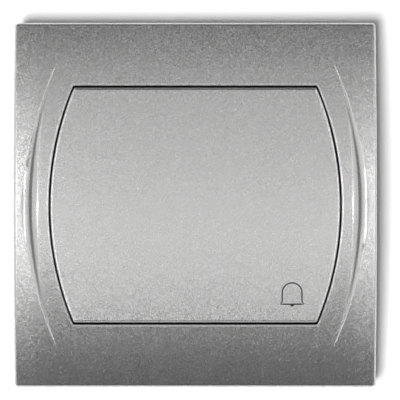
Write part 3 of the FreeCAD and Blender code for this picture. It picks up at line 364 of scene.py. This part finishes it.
def bell_outline():
    # Over the dome from right to left, down the left side, along the base and up the right side
    points = []
    dome_z = BELL_TOP - BELL_SHOULDER
    for step in range(DOME_STEPS + 1):
        angle = math.pi * step / DOME_STEPS
        points.append((BELL_SHOULDER * math.cos(angle), dome_z + BELL_SHOULDER * math.sin(angle)))
    for step in range(1, SIDE_STEPS + 1):
        points.append((-BELL_SHOULDER, dome_z + (BELL_SIDE_LOW - dome_z) * step / SIDE_STEPS))
    for step in range(BASE_STEPS + 1):
        points.append((-BELL_FLARE + 2 * BELL_FLARE * step / BASE_STEPS, BELL_BASE))
    for step in range(SIDE_STEPS):
        points.append((BELL_SHOULDER, BELL_SIDE_LOW + (dome_z - BELL_SIDE_LOW) * step / SIDE_STEPS))
    return points


def printed_bell(outline, half_width):
    # A closed ribbon along the outline, laid on the key: two rails, offset to either side of the line
    count = len(outline)
    shape = bmesh.new()
    rails = []
    for index, (x, z) in enumerate(outline):
        before = Vector(outline[index - 1])
        after = Vector(outline[(index + 1) % count])
        run = (after - before).normalized()
        side = Vector((-run.y, run.x)) * half_width
        inner = on_key(BELL_X + x + side.x, BELL_Z + z + side.y)
        outer = on_key(BELL_X + x - side.x, BELL_Z + z - side.y)
        rails.append((shape.verts.new(inner), shape.verts.new(outer)))
    for index in range(count):
        here = rails[index]
        there = rails[(index + 1) % count]
        shape.faces.new((here[0], here[1], there[1], there[0]))
    fan = []
    for step in range(CLAPPER_STEPS + 1):
        angle = math.pi * step / CLAPPER_STEPS
        x = BELL_X + CLAPPER_HALF * math.cos(angle)
        z = BELL_Z + BELL_BASE - CLAPPER_DROP * math.sin(angle)
        fan.append(shape.verts.new(on_key(x, z)))
    shape.faces.new(fan)
    bmesh.ops.recalc_face_normals(shape, faces=shape.faces)
    mesh = bpy.data.meshes.new("bell_mark")
    shape.to_mesh(mesh)
    shape.free()
    return mesh


GRAIN_DETAIL = 4.0
GRAIN_RELIEF = {"Strength": 0.25, "Distance": 0.00003}
MARK_EDGE = (0.00006, 0.0002)
MARK_DEPTH_SHARE = 40.0


def grain_group():
    # Faint grain of a mould or of ink. Where a radius is given, the round marks of four ejector pins are
    # added, which stand in a rectangle about the middle.
    group, given, result = new_group(
        "moulded_grain",
        [
            ("Colour", "NodeSocketColor", None),
            ("Grain Size", "NodeSocketFloat", 0.0004),
            ("Grain Depth", "NodeSocketFloat", 0.15),
            ("Mark X", "NodeSocketFloat", 0.0),
            ("Mark Z", "NodeSocketFloat", 0.0),
            ("Mark Radius", "NodeSocketFloat", 0.0),
            ("Gloss", "NodeSocketFloat", 0.5),
        ],
        [("Colour", "NodeSocketColor"), ("Gloss", "NodeSocketFloat"), ("Normal", "NodeSocketVector")],
    )
    vector = scaled_place(group, given.outputs["Grain Size"])
    factor = mottled(group, vector, given.outputs["Grain Depth"], GRAIN_DETAIL)
    group.links.new(times(group, given.outputs["Colour"], factor), result.inputs["Colour"])
    group.links.new(computed(group, "MULTIPLY", given.outputs["Gloss"], factor), result.inputs["Gloss"])
    _, spot = object_place(group)
    squares = []
    for axis, label in (("X", "Mark X"), ("Z", "Mark Z")):
        from_middle = computed(group, "ABSOLUTE", spot.outputs[axis])
        off = computed(group, "SUBTRACT", from_middle, given.outputs[label])
        squares.append(computed(group, "MULTIPLY", off, off))
    from_pin = computed(group, "SQRT", computed(group, "ADD", *squares))
    past_ring = computed(group, "SUBTRACT", from_pin, given.outputs["Mark Radius"])
    off_ring = computed(group, "ABSOLUTE", past_ring)
    ring = computed(group, "SUBTRACT", 1.0, faded(group, off_ring, *MARK_EDGE))
    wanted = computed(group, "GREATER_THAN", given.outputs["Mark Radius"], 0.0)
    marked = computed(group, "MULTIPLY", ring, wanted)
    height = computed(group, "SUBTRACT", factor, computed(group, "MULTIPLY", marked, MARK_DEPTH_SHARE))
    bump = add_node(group, "ShaderNodeBump", **GRAIN_RELIEF)
    group.links.new(height, bump.inputs["Height"])
    group.links.new(bump.outputs["Normal"], result.inputs["Normal"])
    return group


MOULDED_GRAIN = grain_group()
print_ink = surfaced("print_ink", MOULDED_GRAIN, 0.0, {"Colour": INK, "Grain Size": INK_GRAIN})
bell_mark = bpy.data.objects.new("bell_mark", printed_bell(bell_outline(), LINE_WIDTH / 2))
bpy.context.scene.collection.objects.link(bell_mark)
bell_mark.data.materials.append(print_ink)
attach(bell_mark, "key")

# Rocker
# The carrier that swings on two trunnions and takes the key's clips: grey plastic with glass fibre,
# straight from the mould, a little glossier where the fibre lies deep.
ROCKER_GREY = {"Colour": (0.16, 0.165, 0.17, 1.0), "Gloss": 0.42}
dress("rocker_actuator", surfaced("rocker_plastic", MOULDED_GRAIN, 0.0, ROCKER_GREY))

# Plunger and mechanism cover
# The plunger slides in the cover that closes the mechanism in front. Both are moulded in the same white
# plastic, which slides well on itself, and stay unpainted behind the key.
MECHANISM_WHITE = {"Colour": (0.72, 0.72, 0.7, 1.0), "Gloss": 0.4}
white_plastic = surfaced("white_plastic", MOULDED_GRAIN, 0.0, MECHANISM_WHITE)
dress("push_plunger", white_plastic)
dress("mechanism_cover", white_plastic)

# Mechanism base
# The housing that sits in the wall box: black moulded plastic that stands heat, with the claws' ramps above
# and below, the wire entries in its sides and the round marks of four ejector pins.
BASE_BLACK = {"Colour": (0.035, 0.036, 0.038, 1.0), "Gloss": 0.42}
PIN_MARKS = {"Mark X": 0.0135, "Mark Z": 0.0125, "Mark Radius": 0.002}
dress("mechanism_base", surfaced("base_plastic", MOULDED_GRAIN, 0.0, {**BASE_BLACK, **PIN_MARKS}))

# Claw screws and terminal screws
# Cheese-head screws with a slot, of turned steel with a rolled thread and zinc plating. The thread is
# relief: ridges that climb round the screw's own axis from its head to its end, with painted shade in the
# valleys.
ZINC = (0.62, 0.63, 0.64, 1.0)
ZINC_GLOSS = 0.34
STREAK_SIZE = 0.0006
STREAK_SPREAD = 0.25
STREAK_DETAIL = 3.0
THREAD_PITCH = 0.0006
THREAD_DEPTH = 0.00032
HEAD_THICKNESS = 0.0018
HEAD_FADE = 0.0002
VALLEY_SHADE = 0.5


def thread_group():
    group, given, result = new_group(
        "rolled_thread",
        [
            ("Colour", "NodeSocketColor", ZINC),
            ("Centre", "NodeSocketVector", None),
            ("Head End", "NodeSocketFloat", 0.0),
            ("Pitch", "NodeSocketFloat", THREAD_PITCH),
            ("Thread Depth", "NodeSocketFloat", THREAD_DEPTH),
            ("Streak Size", "NodeSocketFloat", STREAK_SIZE),
            ("Streak Spread", "NodeSocketFloat", STREAK_SPREAD),
            ("Gloss", "NodeSocketFloat", ZINC_GLOSS),
        ],
        [("Colour", "NodeSocketColor"), ("Gloss", "NodeSocketFloat"), ("Normal", "NodeSocketVector")],
    )
    place, _ = object_place(group)
    offset = add_node(group, "ShaderNodeVectorMath", operation="SUBTRACT")
    group.links.new(place, offset.inputs[0])
    group.links.new(given.outputs["Centre"], offset.inputs[1])
    spot = add_node(group, "ShaderNodeSeparateXYZ")
    group.links.new(offset.outputs["Vector"], spot.inputs[0])
    angle = computed(group, "ARCTAN2", spot.outputs["Z"], spot.outputs["X"])
    turns = computed(group, "DIVIDE", angle, 2.0 * math.pi)
    along = computed(group, "DIVIDE", spot.outputs["Y"], given.outputs["Pitch"])
    phase = computed(group, "FRACT", computed(group, "ADD", along, turns))
    half_ridge = computed(group, "ABSOLUTE", computed(group, "SUBTRACT", phase, 0.5))
    ridge = computed(group, "MULTIPLY", half_ridge, 2.0)
    past_head = computed(group, "SUBTRACT", spot.outputs["Y"], given.outputs["Head End"])
    shank = faded(group, past_head, 0.0, HEAD_FADE)
    bump = add_node(group, "ShaderNodeBump", Strength=1.0)
    group.links.new(given.outputs["Thread Depth"], bump.inputs["Distance"])
    group.links.new(computed(group, "MULTIPLY", ridge, shank), bump.inputs["Height"])
    group.links.new(bump.outputs["Normal"], result.inputs["Normal"])
    # Painted shade: the colour is darkened in the thread's valleys
    valley_shade = computed(group, "MULTIPLY", computed(group, "SUBTRACT", 1.0, ridge), shank)
    kept = computed(group, "SUBTRACT", 1.0, computed(group, "MULTIPLY", valley_shade, VALLEY_SHADE))
    vector = scaled_place(group, given.outputs["Streak Size"])
    factor = mottled(group, vector, given.outputs["Streak Spread"], STREAK_DETAIL)
    shade = computed(group, "MULTIPLY", factor, kept)
    group.links.new(times(group, given.outputs["Colour"], shade), result.inputs["Colour"])
    group.links.new(computed(group, "MULTIPLY", given.outputs["Gloss"], factor), result.inputs["Gloss"])
    return group


ROLLED_THREAD = thread_group()
for node in ("claw_screw_upper", "claw_screw_lower", "terminal_screw_left", "terminal_screw_right"):
    corners = [Vector(corner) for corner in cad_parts[node].bound_box]
    centre = sum(corners, Vector()) / len(corners)
    head_end = min(corner.y for corner in corners) + HEAD_THICKNESS - centre.y
    dress(node, surfaced(node + "_steel", ROLLED_THREAD, 1.0, {"Centre": centre, "Head End": head_end}))

# Yoke, claws, nuts and cover screws
# The yoke is stamped from 1.2 mm sheet steel and the claws are stamped and bent, and all are zinc-plated.
# The plating shows a faint spangle and darker streaks where the sheet was rolled.
STREAK_STRETCH = (0.12, 1.0, 1.0)
STREAK_RELIEF = {"Strength": 0.2, "Distance": 0.00002}


def rolled_group():
    group, given, result = new_group(
        "rolled_metal",
        [
            ("Colour", "NodeSocketColor", ZINC),
            ("Streak Size", "NodeSocketFloat", STREAK_SIZE),
            ("Streak Spread", "NodeSocketFloat", STREAK_SPREAD),
            ("Gloss", "NodeSocketFloat", ZINC_GLOSS),
        ],
        [("Colour", "NodeSocketColor"), ("Gloss", "NodeSocketFloat"), ("Normal", "NodeSocketVector")],
    )
    vector = scaled_place(group, given.outputs["Streak Size"])
    stretched = add_node(group, "ShaderNodeMapping", Scale=STREAK_STRETCH)
    group.links.new(vector, stretched.inputs["Vector"])
    factor = mottled(group, stretched.outputs["Vector"], given.outputs["Streak Spread"], STREAK_DETAIL)
    group.links.new(times(group, given.outputs["Colour"], factor), result.inputs["Colour"])
    group.links.new(computed(group, "MULTIPLY", given.outputs["Gloss"], factor), result.inputs["Gloss"])
    bump = add_node(group, "ShaderNodeBump", **STREAK_RELIEF)
    group.links.new(factor, bump.inputs["Height"])
    group.links.new(bump.outputs["Normal"], result.inputs["Normal"])
    return group


ROLLED_METAL = rolled_group()
zinc_plate = surfaced("zinc_plate", ROLLED_METAL, 1.0, {"Colour": ZINC, "Gloss": ZINC_GLOSS})
for node in ("mounting_yoke", "cover_screws", "claw_nut_upper", "claw_nut_lower", "claw_upper", "claw_lower"):
    dress(node, zinc_plate)

# Springs and lever pin
# The return springs and the lever's spring are wound from spring-steel wire, and the lever's pin is cut from
# straight steel wire. All are bright from the drawing die, without plating, and held by their seats only.
DRAWN_STEEL = {"Colour": (0.5, 0.5, 0.5, 1.0), "Gloss": 0.25}
spring_steel = surfaced("spring_steel", ROLLED_METAL, 1.0, DRAWN_STEEL)
for node in ("return_springs", "lever_spring", "lever_pin"):
    dress(node, spring_steel)

# Contact strips and terminal clamps
# The two strips that carry the current and the clamps that hold the wires: blanked from rolled brass sheet,
# bent, and left bare. The strips lie in the base, and each clamp rides on its screw.
BRASS = {"Colour": (0.72, 0.52, 0.25, 1.0), "Gloss": 0.3}
strip_brass = surfaced("strip_brass", ROLLED_METAL, 1.0, BRASS)
for node in ("common_strip", "contact_strip", "terminal_clamp_left", "terminal_clamp_right"):
    dress(node, strip_brass)

# Contact lever
# The lever that the plunger tips: blanked from rolled bronze strip, which is tougher than brass, with a hook
# bent round the pin.
BRONZE = {"Colour": (0.62, 0.38, 0.2, 1.0), "Gloss": 0.3}
dress("contact_lever", surfaced("strip_bronze", ROLLED_METAL, 1.0, BRONZE))

# Contacts
# The two points that meet when the key is pressed: silver rivets with smooth heads, one closed into the
# lever and one into the contact strip.
CONTACT_SILVER = {"Colour": (0.85, 0.85, 0.83, 1.0), "Gloss": 0.2}
contact_silver = surfaced("contact_silver", ROLLED_METAL, 1.0, CONTACT_SILVER)
for node in ("moving_contact", "fixed_contact"):
    dress(node, contact_silver)

# Wall
# A white wall stands at the plate's rear rim, open behind the plate where the wall box would be. From
# behind, the wall isn't drawn, so the mechanism can be seen.
WALL_HOLE = 0.0385
WALL_NEAR = 0.2
WALL_REACH = 2.5
WALL_COLOUR = (0.4, 0.4, 0.4, 1.0)
WALL_GLOW = 0.06
MATT_ROUGHNESS = 0.9
MATT_SPECULAR = 0.1


def wall_mesh():
    shape = bmesh.new()
    rings = []
    for reach in (WALL_HOLE, WALL_NEAR, WALL_REACH):
        corners = [(-reach, -reach), (reach, -reach), (reach, reach), (-reach, reach)]
        rings.append([shape.verts.new((x, 0.0, z)) for x, z in corners])
    for inner, outer in zip(rings, rings[1:]):
        for index in range(4):
            after = (index + 1) % 4
            shape.faces.new((inner[index], outer[index], outer[after], inner[after]))
    bmesh.ops.recalc_face_normals(shape, faces=shape.faces)
    for face in shape.faces:
        if face.normal.y > 0:
            face.normal_flip()
    mesh = bpy.data.meshes.new("wall")
    shape.to_mesh(mesh)
    shape.free()
    return mesh


def plain_white(name, colour, glow, one_sided):
    # A matt surface that glows a little for the camera and for what mirrors it, but lights nothing
    material = bpy.data.materials.new(name)
    material.use_nodes = True
    tree = material.node_tree
    shader = tree.nodes["Principled BSDF"]
    shader.inputs["Base Color"].default_value = colour
    shader.inputs["Roughness"].default_value = MATT_ROUGHNESS
    shader.inputs["Specular IOR Level"].default_value = MATT_SPECULAR
    output = tree.nodes["Material Output"]
    path = add_node(tree, "ShaderNodeLightPath")
    light = add_node(tree, "ShaderNodeEmission", Strength=glow)
    seen = add_node(tree, "ShaderNodeMixShader")
    both = add_node(tree, "ShaderNodeAddShader")
    tree.links.new(shader.outputs[0], both.inputs[0])
    tree.links.new(light.outputs[0], both.inputs[1])
    looked_at = computed(tree, "MAXIMUM", path.outputs["Is Camera Ray"], path.outputs["Is Glossy Ray"])
    tree.links.new(looked_at, seen.inputs["Fac"])
    tree.links.new(shader.outputs[0], seen.inputs[1])
    tree.links.new(both.outputs[0], seen.inputs[2])
    if one_sided:
        surface = add_node(tree, "ShaderNodeNewGeometry")
        clear = add_node(tree, "ShaderNodeBsdfTransparent")
        sided = add_node(tree, "ShaderNodeMixShader")
        tree.links.new(surface.outputs["Backfacing"], sided.inputs["Fac"])
        tree.links.new(seen.outputs[0], sided.inputs[1])
        tree.links.new(clear.outputs[0], sided.inputs[2])
        tree.links.new(sided.outputs[0], output.inputs["Surface"])
    else:
        tree.links.new(seen.outputs[0], output.inputs["Surface"])
    return material


wall = bpy.data.objects.new("wall", wall_mesh())
bpy.context.scene.collection.objects.link(wall)
wall.data.materials.append(plain_white("wall_white", WALL_COLOUR, WALL_GLOW, True))
wall.visible_shadow = False

# Floor
# A plain pale floor lies well below the plate. It ends soon in front, so that the face doesn't mirror it.
FLOOR_SIZE = 5.0
FLOOR_Y = 1.6
FLOOR_Z = -1.15
FLOOR_COLOUR = (0.8, 0.8, 0.8, 1.0)
FLOOR_GLOW = 0.75

bpy.ops.mesh.primitive_plane_add(size=FLOOR_SIZE, location=(0.0, FLOOR_Y, FLOOR_Z))
floor = bpy.context.object
floor.name = "floor"
floor.data.materials.append(plain_white("floor_pale", FLOOR_COLOUR, FLOOR_GLOW, False))

# Lamps
# Soft boxes that stand a metre from the plate. Each has its azimuth and elevation in degrees as seen from
# the plate, its width and height in metres, and its glow. The wall's own lamp lights nothing but the wall.
LAMP_DISTANCE = 1.0
FRONT_LAMPS = {
    "centre_floor": (0.0, -15.0, 0.7, 0.14, 0.14),
    "centre_low": (0.0, -6.0, 0.4, 0.08, 1.97),
    "centre_mid": (0.0, 0.0, 0.4, 0.12, 0.95),
    "centre_level": (0.0, 7.0, 0.4, 0.12, 0.69),
    "centre_high": (0.0, 15.5, 0.4, 0.15, 0.82),
    "left_box": (-25.0, 1.0, 0.3, 0.16, 5.28),
    "right_box": (25.0, 1.0, 0.3, 0.16, 4.39),
    "left_low": (-24.0, -9.0, 0.34, 0.14, 1.95),
    "right_low": (24.0, -9.0, 0.34, 0.14, 1.65),
    "left_high": (-26.0, 13.0, 0.34, 0.16, 1.34),
    "right_high": (26.0, 13.0, 0.34, 0.16, 1.21),
    "left_steep": (-48.0, 2.0, 0.3, 0.5, 1.16),
    "right_steep": (48.0, 2.0, 0.3, 0.5, 1.16),
}
WALL_LAMP = (-16.5, -17.5, 0.34, 0.37, 62.0)
REAR_LAMPS = {
    "rear_left": (-145.0, 25.0, 0.6, 0.5, 2.2),
    "rear_right": (145.0, 25.0, 0.6, 0.5, 2.2),
}


def soft_box(name, azimuth, elevation, width, height, glow, lit=None):
    across = math.radians(azimuth)
    up = math.radians(elevation)
    toward = Vector((math.sin(across) * math.cos(up), -math.cos(across) * math.cos(up), math.sin(up)))
    lamp = bpy.data.lights.new(name, "AREA")
    lamp.shape = "RECTANGLE"
    lamp.size = width
    lamp.size_y = height
    lamp.energy = glow * math.pi * width * height
    holder = bpy.data.objects.new(name, lamp)
    holder.location = toward * LAMP_DISTANCE
    holder.rotation_euler = (-toward).to_track_quat("-Z", "Y").to_euler()
    holder.visible_camera = False
    bpy.context.scene.collection.objects.link(holder)
    if lit is not None:
        group = bpy.data.collections.new(name + "_lit")
        group.objects.link(lit)
        holder.light_linking.receiver_collection = group


for name, values in FRONT_LAMPS.items():
    soft_box(name, *values)
soft_box("wall_lamp", *WALL_LAMP, wall)
for name, values in REAR_LAMPS.items():
    soft_box(name, *values)

# Room
# White to the camera. For its light and in mirrors it is dark in front of the plate, where the face mirrors
# it, and pale to the sides and behind. A direction's Y tells them apart: it is -1 straight ahead.
ROOM_WHITE = (1.0, 1.0, 1.0, 1.0)
ROOM_GLOW = 0.20
MIRRORED_GLOW = 0.80
DARK_FRONT = (-0.7, -0.3)

world = bpy.data.worlds.new("room")
bpy.context.scene.world = world
world.use_nodes = True
room = world.node_tree
back = room.nodes["Background"]
back.inputs["Color"].default_value = ROOM_WHITE
path = add_node(room, "ShaderNodeLightPath")
look = add_node(room, "ShaderNodeTexCoord")
way = add_node(room, "ShaderNodeSeparateXYZ")
room.links.new(look.outputs["Generated"], way.inputs[0])
mirrored = computed(room, "MULTIPLY", path.outputs["Is Glossy Ray"], MIRRORED_GLOW)
pale = computed(room, "ADD", mirrored, ROOM_GLOW)
glow = computed(room, "MULTIPLY", faded(room, way.outputs["Y"], *DARK_FRONT), pale)
level = add_node(room, "ShaderNodeMix", data_type="FLOAT")
room.links.new(glow, level.inputs["A"])
level.inputs["B"].default_value = 1.0
room.links.new(path.outputs["Is Camera Ray"], level.inputs["Factor"])
room.links.new(level.outputs["Result"], back.inputs["Strength"])

# Camera
# It stands close, a third of a metre from the wall, level with the plate's middle, and looks square at the
# wall. The small shift puts the plate where the photograph has it.
CAMERA_DISTANCE = 0.343
FOCAL_PX = 1483.0
PLATE_CENTRE_PX = (195.2, 205.0)
IMAGE_PX = 400.0
SENSOR_MM = 36.0
CLIP_END = 20.0

camera = bpy.data.objects.new("camera", bpy.data.cameras.new("camera"))
bpy.context.scene.collection.objects.link(camera)
camera.location = (0.0, -CAMERA_DISTANCE, 0.0)
camera.rotation_euler = (math.pi / 2, 0.0, 0.0)
camera.data.sensor_width = SENSOR_MM
camera.data.lens = SENSOR_MM * FOCAL_PX / IMAGE_PX
camera.data.shift_x = (IMAGE_PX / 2 - PLATE_CENTRE_PX[0]) / IMAGE_PX
camera.data.shift_y = (PLATE_CENTRE_PX[1] - IMAGE_PX / 2) / IMAGE_PX
camera.data.clip_end = CLIP_END
bpy.context.scene.camera = camera

bpy.context.scene.view_settings.view_transform = "Standard"
